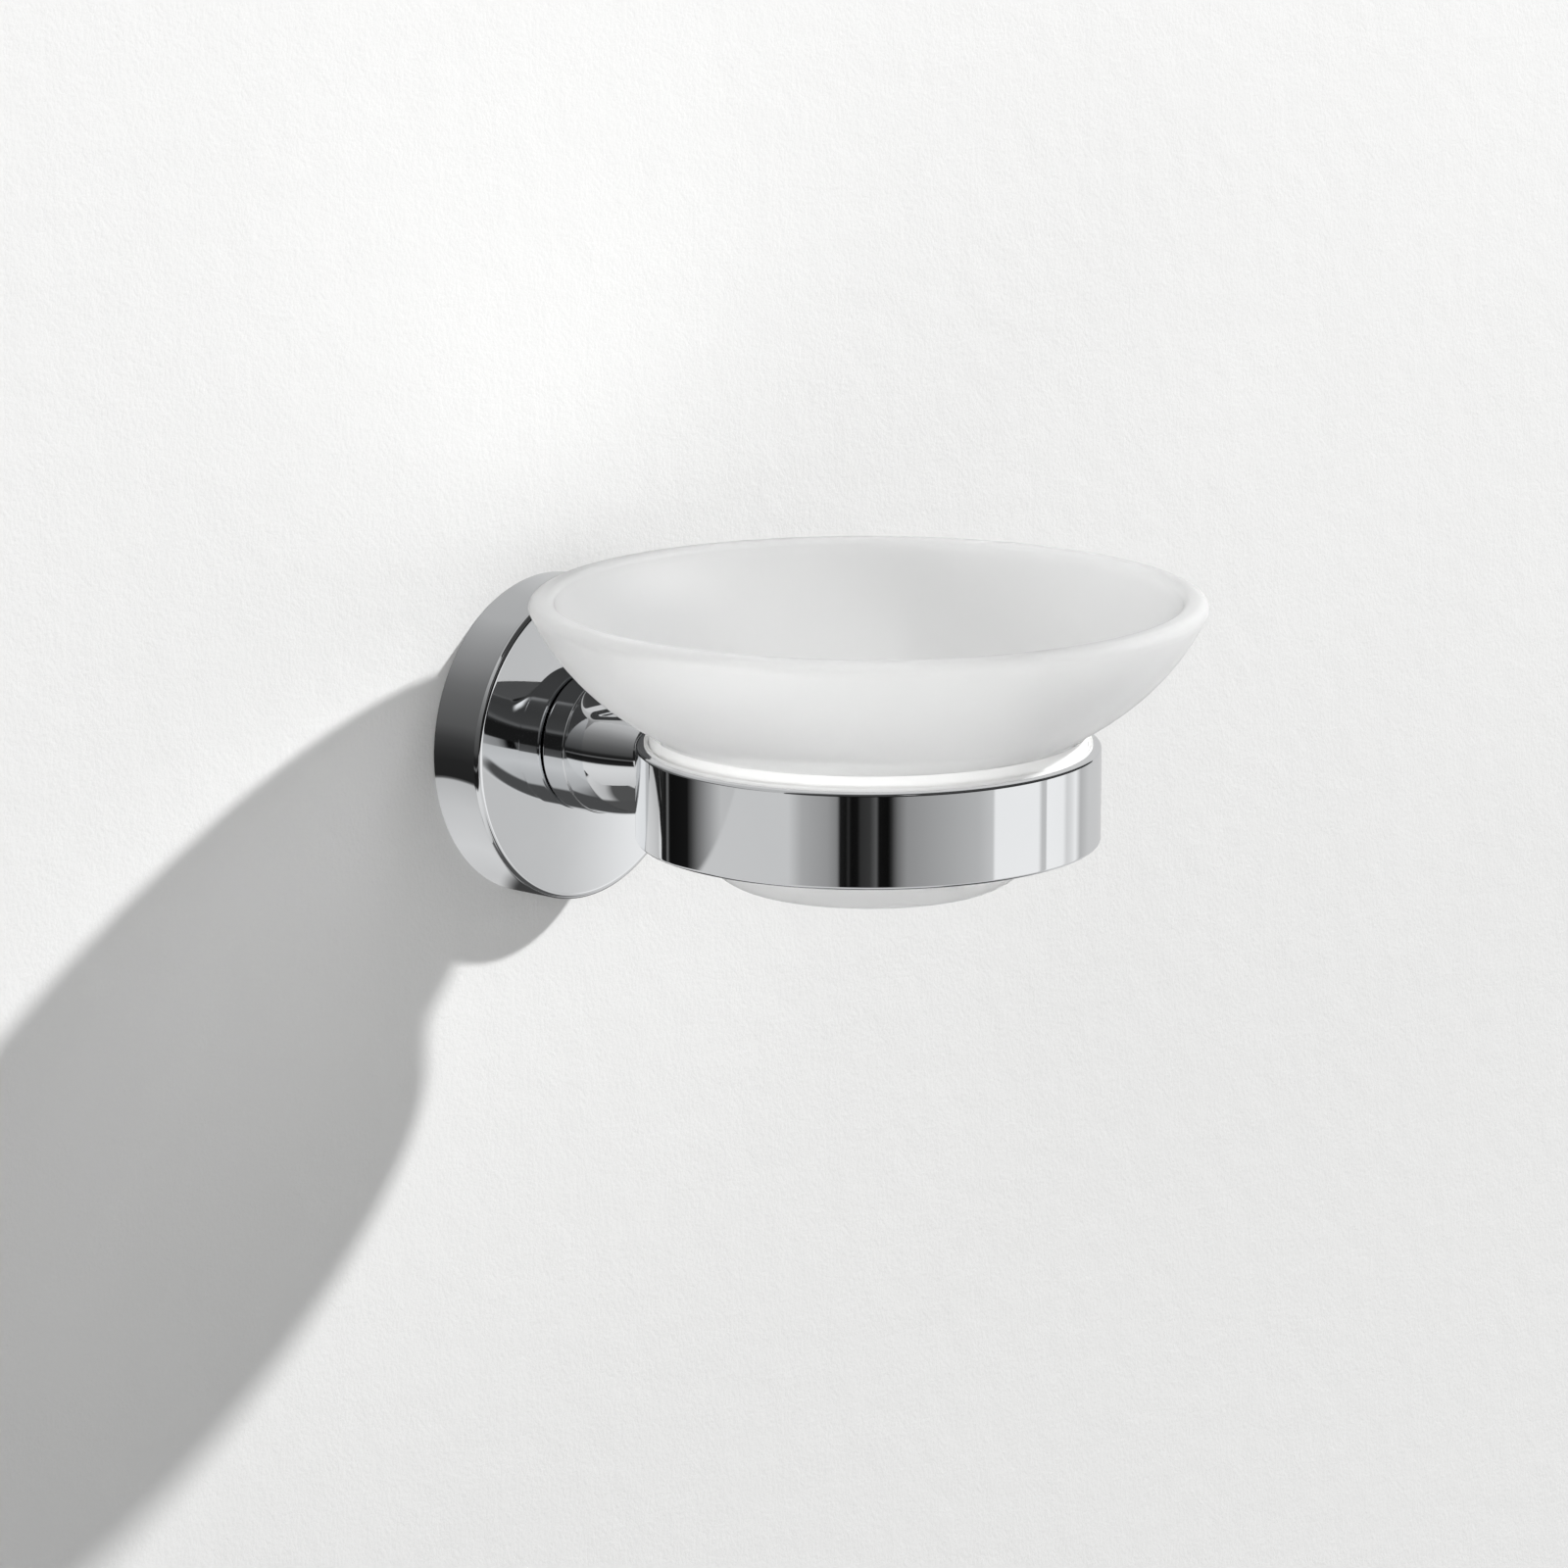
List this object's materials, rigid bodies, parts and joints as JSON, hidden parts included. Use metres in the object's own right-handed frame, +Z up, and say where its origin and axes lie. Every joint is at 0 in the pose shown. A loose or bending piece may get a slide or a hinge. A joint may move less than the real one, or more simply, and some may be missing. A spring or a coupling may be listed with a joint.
{
  "type": "wall-mounted soap dish",
  "caption": "Wall-mounted soap dish: a flared frosted glass dish lifts out of a lined chrome hoop held by a short arm on a round wall flange.",
  "frame": {"origin": "centre of the wall bracket's back face, on the wall's surface and on the arm's axis", "axes": "+Y points into the wall, the arm runs along -Y into the room, +Z is up, +X is to the right as seen from the room"},
  "size_m": [0.109, 0.1603, 0.0589],
  "materials": {
    "chrome": "polished chrome plate",
    "white_plastic": "smooth white moulding",
    "frosted_glass": "satin frosted inside and out",
    "cast_zinc": "bare die-cast zinc alloy, dull grey",
    "steel": "zinc-plated steel",
    "nylon": "moulded grey nylon"
  },
  "bodies": {
    "holder": {"flange": "chrome", "arm": "chrome", "ring_band": "chrome", "liner": "white_plastic", "wall_bracket": "cast_zinc", "wall_screw_left": "steel", "wall_screw_right": "steel", "wall_plug_left": "nylon", "wall_plug_right": "nylon", "grub_screw": "steel", "arm_screw": "steel", "arm_washer": "steel", "locating_pin": "steel", "ring_screw": "steel"},
    "dish": {"glass_dish": "frosted_glass"}
  },
  "joints": [
    {"name": "dish_lift", "type": "slide", "parent": "holder", "child": "dish", "axis": [0, 0, 1], "range_m": [0, 0.045]}
  ]
}
